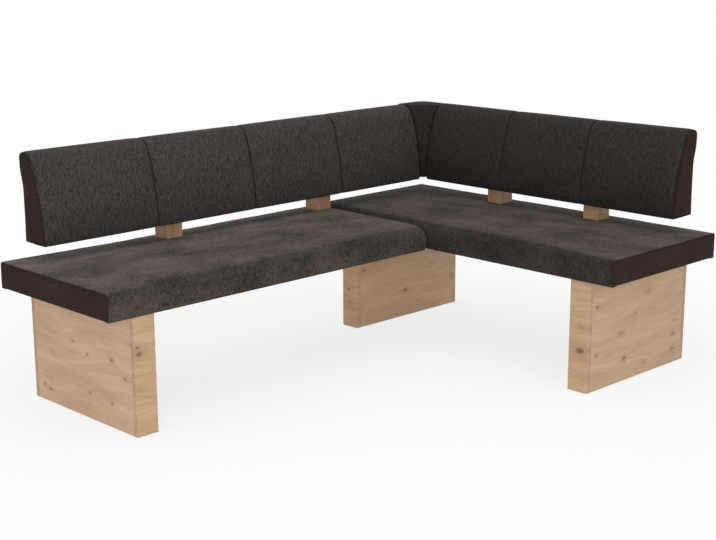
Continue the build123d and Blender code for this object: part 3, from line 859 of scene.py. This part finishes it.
def pile_weave():
    """Group for pile cloth: short slubs along the cloth, fine threads across, and broad brushed patches."""
    name = "pile weave"
    if name in bpy.data.node_groups:
        return bpy.data.node_groups[name]
    shares = {"Slub": 1.0, "Patch": 1.0, "Pile": 1.0}
    group, given, result = effect(name, shares, ("Tone", "Height"))
    cloth = given["Vector"]
    slub = grainy(group, cloth, (200, 30, 1), 1.0, 0.5)
    pile = grainy(group, cloth, (250, 85, 1), 1.5, 0.6)
    fine = grainy(group, cloth, (430, 230, 1), 2.0, 0.6)
    patch = grainy(group, cloth, (5, 7, 1), 5.0, 0.62)
    part = split(group, cloth)
    warp = number(group, "SINE", times(group, part["X"], 3140))
    weft = number(group, "SINE", times(group, part["Y"], 3900))
    thread = times(group, warp, weft)
    tone = spread(group, fine, 0.28, 0.72, 0.25, 0.80)
    swings = {"Slub": (slub, 0.34, 0.66), "Pile": (pile, 0.30, 0.70), "Patch": (patch, 0.32, 0.68)}
    for label, swing in swings.items():
        tone = plus(group, tone, times(group, spread(group, *swing, -0.5, 0.5), given[label]))
    tone = plus(group, tone, times(group, thread, 0.04), clamp=True)
    height = plus(group, times(group, pile, 0.8), times(group, fine, 0.5))
    height = plus(group, height, times(group, thread, 0.06))
    attach(group, result, {"Tone": tone, "Height": height})
    return group


def surface(name):
    """New material; gives the material, its node tree and its shader."""
    material = bpy.data.materials.new(name)
    material.use_nodes = True
    tree = material.node_tree
    return material, tree, tree.nodes["Principled BSDF"]


def relief(tree, height, strength, distance):
    """Normal with bumps from a height."""
    inputs = {"Height": height, "Strength": strength, "Distance": distance}
    return place(tree, "ShaderNodeBump", inputs).outputs["Normal"]


def sewn(tree, cloth):
    """Cloth colour with painted shade in the creases: darkened towards near black by the piece's own seam
    attribute.
    """
    seam = place(tree, "ShaderNodeAttribute", attribute_name="seam").outputs["Fac"]
    return blend(tree, times(tree, seam, 0.85), cloth, (0.004, 0.0035, 0.003))


def shaded_by_facing(tree, cloth, low, high, upright, bend):
    """Cloth colour with painted shade by facing: full on level cloth, less on the bend and on upright
    cloth.
    """
    normal = place(tree, "ShaderNodeNewGeometry").outputs["Normal"]
    facing_up = split(tree, normal)["Z"]
    steep = spread(tree, facing_up, 0.0, 0.6, upright, bend)
    return blend(tree, spread(tree, facing_up, low, high, steep, 1.0), (0, 0, 0), cloth)


def painted_rear_light(tree, cloth, gain):
    """Share of a seat cover's colour: a gain of painted light at its rear edge, lightening the shade under
    the backrest.
    """
    return spread(tree, split(tree, cloth)["Y"], 0.12, 0.42, gain, 1.0)


def woven_cloth(tree, slub, pile, patch):
    """Cloth map, tone and height of a weave with its shares of slubs, pile and brushed patches."""
    cloth = place(tree, "ShaderNodeUVMap", uv_map="cloth").outputs["UV"]
    inputs = {"Vector": cloth, "Slub": slub, "Pile": pile, "Patch": patch}
    weave = place(tree, "ShaderNodeGroup", inputs, node_tree=pile_weave()).outputs
    return cloth, weave["Tone"], weave["Height"]


def woven_finish(name, dark, light, brushed, nap, rear=1.0):
    """Grey-brown pile cloth on the piece's cloth map; brushed sets how patchy its pile lies.

    The facing shade is painted shade: the range of the normal's upright part over which the colour rises to
    full, and the colour's shares on upright cloth and on the bend. The rear is painted light: the colour's
    gain at a seat's rear edge.
    """
    material, tree, shader = surface(name)
    cloth, tone, height = woven_cloth(tree, slub=0.5, pile=0.8, patch=brushed)
    yarn = blend(tree, 1.0, blend(tree, tone, dark, light), painted_rear_light(tree, cloth, rear), "MULTIPLY")
    inputs = {
        "Base Color": sewn(tree, shaded_by_facing(tree, yarn, *nap)),
        "Roughness": spread(tree, tone, 0, 1, 0.95, 0.8),
        "Normal": relief(tree, height, 0.5, 0.0012),
        "Sheen Weight": 0.06,
        "Sheen Roughness": 0.45,
        "Sheen Tint": (0.62, 0.55, 0.48, 1),
        "Specular IOR Level": 0.2,
    }
    attach(tree, shader, inputs)
    return material


def brown_finish():
    """Plain close-woven brown cloth of the end panels."""
    name = "brown cloth"
    if name in bpy.data.materials:
        return bpy.data.materials[name]
    brown = bpy.context.scene.bench_finish.brown
    material, tree, shader = surface(name)
    _, tone, height = woven_cloth(tree, slub=0.15, pile=0.3, patch=0.45)
    inputs = {
        "Base Color": sewn(tree, blend(tree, tone, tinted(brown, 0.72), tinted(brown, 1.25))),
        "Roughness": spread(tree, tone, 0, 1, 0.9, 0.75),
        "Normal": relief(tree, height, 0.35, 0.0008),
        "Specular IOR Level": 0.1,
    }
    attach(tree, shader, inputs)
    return material


def wood_figure():
    """Group for wood: bands and fibres along x, sparse knots that bend them, and short cracks."""
    name = "wood figure"
    if name in bpy.data.node_groups:
        return bpy.data.node_groups[name]
    group, given, result = effect(name, {"Knots": 1.0, "Streaks": 0.4}, ("Tone", "Knot", "Height"))
    wood = given["Vector"]
    scaled = place(group, "ShaderNodeMapping", {"Vector": wood, "Scale": (6.5, 14, 1)}).outputs["Vector"]
    cells = {"Vector": scaled, "Scale": 1.0, "Randomness": 1.0}
    spot = place(group, "ShaderNodeTexVoronoi", cells, voronoi_dimensions="2D").outputs
    rag = spread(group, grainy(group, wood, (75, 130, 1), 2.0, 0.6), 0.25, 0.75, -0.05, 0.05)
    near = plus(group, spot["Distance"], rag)
    lots = place(group, "ShaderNodeSeparateColor", {"Color": spot["Color"]}).outputs
    chance, shade = lots["Red"], spread(group, lots["Green"], 0.0, 1.0, 0.35, 1.0)
    chosen = spread(group, chance, 0.78, 0.82)
    size = spread(group, chance, 0.80, 1.0, 0.03, 0.10)
    knot = number(group, "SUBTRACT", 1.0, number(group, "DIVIDE", near, size), clamp=True)
    knot = times(group, times(group, knot, chosen), given["Knots"])
    halo = times(group, spread(group, near, 0.0, 0.27, 1.0, 0.0), chosen)
    sway = spread(group, grainy(group, wood, (2.4, 6, 1), 2.0, 0.5), 0.3, 0.7, -0.018, 0.018)
    shift = plus(group, times(group, halo, 0.012), sway)
    bend = place(group, "ShaderNodeCombineXYZ", {"Y": shift}).outputs[0]
    bent = place(group, "ShaderNodeVectorMath", {0: wood, 1: bend}, operation="ADD").outputs[0]
    bands = grainy(group, bent, (2.6, 20, 2), 5.0, 0.58)
    streaks = grainy(group, bent, (5, 105, 5), 3.0, 0.6)
    fibres = grainy(group, bent, (14, 420, 14), 3.0, 0.65)
    pores = grainy(group, bent, (26, 900, 26), 2.0, 0.5)
    tone = plus(group, times(group, spread(group, bands, 0.30, 0.70), 0.48), 0.16)
    fine = spread(group, streaks, 0.30, 0.70, -0.5, 0.5)
    tone = plus(group, tone, times(group, fine, given["Streaks"]))
    tone = plus(group, tone, times(group, spread(group, fibres, 0.28, 0.72), 0.16))
    tone = plus(group, tone, times(group, halo, 0.32))
    tone = plus(group, tone, spread(group, pores, 0.62, 0.72, 0.0, 0.22), clamp=True)
    cracks = grainy(group, bent, (9, 130, 5), 1.0, 0.4)
    crack = times(group, spread(group, cracks, 0.735, 0.78), spread(group, bands, 0.5, 0.6))
    spots = times(group, spread(group, knot, 0.05, 0.7), shade)
    mark = number(group, "MAXIMUM", spots, times(group, crack, given["Knots"]))
    height = number(group, "SUBTRACT", times(group, fibres, 0.3), times(group, pores, 0.3))
    height = number(group, "SUBTRACT", height, times(group, mark, 0.6))
    attach(group, result, {"Tone": tone, "Knot": mark, "Height": height})
    return group


def joint_lines(tree, node):
    """Line on the last millimetre of a board's two upright ends, where the edge boards meet it."""
    low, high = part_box(node)
    axis = 0 if high.x - low.x > high.y - low.y else 1
    part = split(tree, object_spot(tree))[axis]
    from_low = number(tree, "SUBTRACT", part, low[axis])
    from_high = number(tree, "SUBTRACT", high[axis], part)
    return spread(tree, number(tree, "MINIMUM", from_low, from_high), 0.0008, 0.0020, 0.55, 0.0)


def knot_marks(tree, face):
    """Hearts and halos of the chosen knots on a leg's face, ragged and longer along the grain."""
    leg = face.split()[0]
    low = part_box(f"{leg}_leg_edge_boards")[0]
    on_left_side = (leg == "left") != face.endswith("edge")
    spot = object_spot(tree)
    rag = spread(tree, grainy(tree, spot, (150, 150, 210), 2.0, 0.6), 0.3, 0.7, -0.4, 0.4)
    heart, halo = 0.0, 0.0
    for inward, up, radius in leg_knots[face]:
        centre = Vector((low.x, low.y + inward, up) if on_left_side else (low.x + inward, low.y, up))
        stretch = Vector((0.7, 0.7, 1.0)) / radius
        inputs = {"Vector": spot, "Location": -centre * stretch, "Scale": stretch}
        scaled = place(tree, "ShaderNodeMapping", inputs).outputs["Vector"]
        away = place(tree, "ShaderNodeVectorMath", {0: scaled}, operation="LENGTH").outputs["Value"]
        rim = plus(tree, away, rag)
        heart = number(tree, "MAXIMUM", heart, spread(tree, rim, 0.3, 1.15, 1.0, 0.0))
        halo = number(tree, "MAXIMUM", halo, spread(tree, rim, 0.8, 3.2, 0.7, 0.0))
    return heart, halo


def wood_finish(name, ground, band, knot, vector, knots, streaks, gloss, depth, board=None, face=None):
    """Wood with bands, fibres and knots, joint lines at the ends of a board, and a leg face's own knots.

    The vector function makes the oriented coordinates in the material's tree.
    """
    material, tree, shader = surface(name)
    inputs = {"Vector": vector(tree), "Knots": knots, "Streaks": streaks}
    figure = place(tree, "ShaderNodeGroup", inputs, node_tree=wood_figure()).outputs
    tone, mark = figure["Tone"], figure["Knot"]
    base = blend(tree, tone, ground, band)
    if board:
        base = blend(tree, joint_lines(tree, board), base, knot)
    if face:
        heart, halo = knot_marks(tree, face)
        base = blend(tree, halo, base, band)
        mark = number(tree, "MAXIMUM", mark, heart)
    inputs = {
        "Base Color": blend(tree, mark, base, knot),
        "Roughness": spread(tree, tone, 0, 1, gloss, gloss + 0.12),
        "Normal": relief(tree, figure["Height"], 0.25, depth),
        "Specular IOR Level": 0.35,
    }
    attach(tree, shader, inputs)
    return material


def level_grain(offset):
    """Coordinates for level grain that runs on round a leg: x + y along the grain, height across it."""

    def vector(tree):
        part = split(tree, object_spot(tree))
        along = plus(tree, plus(tree, part["X"], part["Y"]), offset)
        side = number(tree, "SUBTRACT", part["X"], part["Y"])
        return place(tree, "ShaderNodeCombineXYZ", {"X": along, "Y": part["Z"], "Z": side}).outputs[0]

    return vector


def upright_grain(tree):
    """Coordinates for grain along the height."""
    part = split(tree, object_spot(tree))
    return place(tree, "ShaderNodeCombineXYZ", {"X": part["Z"], "Y": part["X"], "Z": part["Y"]}).outputs[0]


# Raw materials by slot: ground, deep colour, grains a metre on each axis, roughness and, for steel, metal
raw_boards = {
    "chipboard": ((0.46, 0.33, 0.20), (0.26, 0.17, 0.09), (420, 420, 420), 0.85),
    "softwood": ((0.56, 0.41, 0.24), (0.44, 0.29, 0.15), (60, 60, 190), 0.75),
    "thin_board": ((0.27, 0.17, 0.10), (0.20, 0.12, 0.07), (160, 160, 160), 0.7),
}
raw_fittings = {
    "zinc_steel": ((0.62, 0.63, 0.64), (0.50, 0.51, 0.53), (90, 90, 90), 0.38, 1.0),
    "glide_plastic": ((0.030, 0.026, 0.024), (0.020, 0.018, 0.017), (500, 500, 500), 0.5),
    "dark_lining": ((0.030, 0.029, 0.028), (0.014, 0.014, 0.014), (700, 700, 700), 0.9),
    "foam": ((0.72, 0.66, 0.48), (0.60, 0.54, 0.38), (500, 500, 500), 0.9),
}


def raw_finish(slot, ground, deep, grain, rough, metal=0.0):
    """Raw board, steel, plastic, lining or foam: one noise over its colour, roughness and relief."""
    material, tree, shader = surface(slot.replace("_", " "))
    noise = grainy(tree, object_spot(tree), grain, 4.0, 0.6)
    inputs = {
        "Base Color": blend(tree, spread(tree, noise, 0.3, 0.7), deep, ground),
        "Roughness": spread(tree, noise, 0.3, 0.7, rough + 0.1, rough - 0.06),
        "Metallic": metal,
        "Normal": relief(tree, noise, 0.2, 0.0004),
    }
    attach(tree, shader, inputs)
    return material


def dress(finishes):
    """Give the frame's solids the finishes of their slots; oak decor goes by leg, and by side or edge."""
    for part in frame["record"]["subparts"]:
        node, key = part["node"], part["material_slot"]
        if key == "oak_decor":
            key = node.split("_")[0] + " edge" * node.endswith("edge_boards")
        if key in finishes:
            slots = frame["nodes"][node].data.materials
            slots.clear()
            slots.append(finishes[key])


class BENCH_OT_wood(bpy.types.Operator):
    """Give legs, posts and hidden frames their wood finishes"""

    bl_idname = "bench.wood"
    bl_label = "Wood finishes"

    def execute(self, context):
        look = context.scene.bench_finish
        oak = (look.oak, look.oak_band, look.oak_knot)
        post = (look.post, look.post_band, look.oak_knot)
        # Painted light and shade: one oak decor tinted leg by leg and face by face to how each face shows
        # in its light; the corner leg, in shade under the seat, gets lighter sides and a lighter, warm edge
        sides = {"left": (1.04, 1.03, 1.02), "corner": (1.02, 1.03, 0.99), "right": (0.96, 1.0, 0.97)}
        edges = {"left": (0.86, 0.85, 0.78), "corner": (1.06, 1.03, 0.88), "right": (0.88, 0.86, 0.80)}
        decor = {"knots": 1.0, "gloss": 0.5, "depth": 0.0004}
        finishes = {slot: raw_finish(slot, *board) for slot, board in raw_boards.items()}
        finishes["oak_post"] = wood_finish(
            "oak post", *post, upright_grain, knots=0.0, streaks=0.5, gloss=0.42, depth=0.0005
        )
        for leg in sides:
            side = [tinted(shade, sides[leg]) for shade in oak]
            edge = [tinted(shade, edges[leg]) for shade in oak]
            board = f"{leg}_leg_inner_board"
            finishes[leg] = wood_finish(
                f"oak side {leg}", *side, level_grain(0.0), streaks=0.25, board=board, face=leg, **decor
            )
            finishes[f"{leg} edge"] = wood_finish(
                f"oak edge {leg}", *edge, level_grain(3.7), streaks=0.5, face=f"{leg} edge", **decor
            )
        dress(finishes)
        return {"FINISHED"}


class BENCH_OT_fittings(bpy.types.Operator):
    """Give steel fittings, glides and the underside lining their finishes"""

    bl_idname = "bench.fittings"
    bl_label = "Fittings"

    def execute(self, context):
        dress({slot: raw_finish(slot, *look) for slot, look in raw_fittings.items()})
        return {"FINISHED"}


# Stage


def seen_rays(tree):
    """1 for rays that show the background: from the camera, in gloss and through glass."""
    path = place(tree, "ShaderNodeLightPath").outputs
    shown = number(tree, "MAXIMUM", path["Is Camera Ray"], path["Is Glossy Ray"])
    return number(tree, "MAXIMUM", shown, path["Is Transmission Ray"])


def floor_piece(look):
    """Level floor as a grid of even steps, far wider than the view, veiled in white away from the bench."""
    side = np.linspace(-60, 60, 25)
    x, y = np.meshgrid(side, side)
    here = np.arange(x.size).reshape(x.shape)
    quads = np.stack([here[:-1, :-1], here[:-1, 1:], here[1:, 1:], here[1:, :-1]], axis=-1).reshape(-1, 4)
    mesh = bpy.data.meshes.new("floor")
    mesh.from_pydata(np.stack([x, y, 0 * x], axis=-1).reshape(-1, 3).tolist(), [], quads.tolist())
    material, tree, shader = surface("pale floor")
    attach(tree, shader, {"Base Color": (*look.floor, 1), "Roughness": 1.0, "Specular IOR Level": 0.0})
    white = place(tree, "ShaderNodeEmission", {"Color": (1, 1, 1, 1), "Strength": 1.0}).outputs[0]
    spot = object_spot(tree)
    away = place(tree, "ShaderNodeVectorMath", {0: spot}, operation="LENGTH").outputs["Value"]
    veil = times(tree, seen_rays(tree), spread(tree, away, 1.2, 2.6, look.veil, 1.0))
    mixed = place(tree, "ShaderNodeMixShader", {0: veil, 1: shader.outputs[0], 2: white}).outputs[0]
    tree.links.new(mixed, tree.nodes["Material Output"].inputs["Surface"])
    mesh.materials.append(material)
    floor = bpy.data.objects.new("floor", mesh)
    bpy.context.scene.collection.objects.link(floor)


def soft_lamp(name, spot, aim, size, power):
    """Large square lamp at a spot, turned towards a point."""
    lamp = bpy.data.lights.new(name, "AREA")
    lamp.shape, lamp.size, lamp.energy = "SQUARE", size, power
    holder = bpy.data.objects.new(name, lamp)
    holder.location = spot
    holder.rotation_euler = (Vector(aim) - Vector(spot)).to_track_quat("-Z", "Y").to_euler()
    bpy.context.scene.collection.objects.link(holder)


def photo_camera():
    """Camera at the photograph's place: heading, pitch and roll in degrees, place in metres."""
    heading, pitch, roll = radians(43.902), radians(13.699), radians(-0.330)
    ahead = Vector((sin(heading) * cos(pitch), cos(heading) * cos(pitch), -sin(pitch)))
    right = Vector((cos(heading), -sin(heading), 0))
    above = right.cross(ahead)
    right, above = right * cos(roll) + above * sin(roll), above * cos(roll) - right * sin(roll)
    data = bpy.data.cameras.new("camera")
    data.lens, data.sensor_width, data.shift_x = 70.643, 36.0, 0.0188
    camera = bpy.data.objects.new("camera", data)
    turn = Matrix((right, above, -ahead)).transposed().to_4x4()
    camera.matrix_world = Matrix.Translation((-3.3022, -3.2990, 1.5400)) @ turn
    bpy.context.scene.collection.objects.link(camera)
    bpy.context.scene.camera = camera


class BENCH_OT_stage(bpy.types.Operator):
    """Set up the pale floor, the even light, the lamps and the camera"""

    bl_idname = "bench.stage"
    bl_label = "Stage"

    def execute(self, context):
        look = context.scene.bench_stage
        floor_piece(look)
        world = bpy.data.worlds.new("even light")
        world.use_nodes = True
        tree = world.node_tree
        strength = number(tree, "MAXIMUM", seen_rays(tree), look.sky)
        sky = tree.nodes["Background"]
        sky.inputs["Color"].default_value = (1, 1, 1, 1)
        tree.links.new(strength, sky.inputs["Strength"])
        context.scene.world = world
        soft_lamp("key", (-4.5, -4.8, 1.5), (0.0, 0.1, 0.45), 2.6, look.key)
        soft_lamp("top", (-0.6, -0.6, 3.6), (0.1, 0.1, 0.4), 3.0, look.top)
        photo_camera()
        context.scene.view_settings.view_transform = "Standard"
        return {"FINISHED"}


class BENCH_PT_sidebar(bpy.types.Panel):
    """Bench tools in the 3D view's sidebar"""

    bl_label = "Corner Bench"
    bl_idname = "BENCH_PT_sidebar"
    bl_space_type = "VIEW_3D"
    bl_region_type = "UI"
    bl_category = "Bench"

    def draw(self, context):
        for tool in tools:
            self.layout.operator(tool.bl_idname)


settings = {
    "bench_seat": SeatSettings,
    "bench_back": BackSettings,
    "bench_finish": FinishSettings,
    "bench_stage": StageSettings,
}
tools = (
    BENCH_OT_stage,
    BENCH_OT_seats,
    BENCH_OT_backrests,
    BENCH_OT_corner,
    BENCH_OT_wood,
    BENCH_OT_fittings,
)


def register():
    for kind in (*settings.values(), *tools, BENCH_PT_sidebar):
        bpy.utils.register_class(kind)
    for name, kind in settings.items():
        setattr(bpy.types.Scene, name, PointerProperty(type=kind))


def unregister():
    for name in settings:
        delattr(bpy.types.Scene, name)
    for kind in (BENCH_PT_sidebar, *reversed(tools), *settings.values()):
        bpy.utils.unregister_class(kind)


def main():
    register()
    bpy.ops.bench.stage()
    bpy.ops.bench.seats()
    bpy.ops.bench.backrests()
    bpy.ops.bench.corner()
    bpy.ops.bench.wood()
    bpy.ops.bench.fittings()


if __name__ == "__main__":
    main()
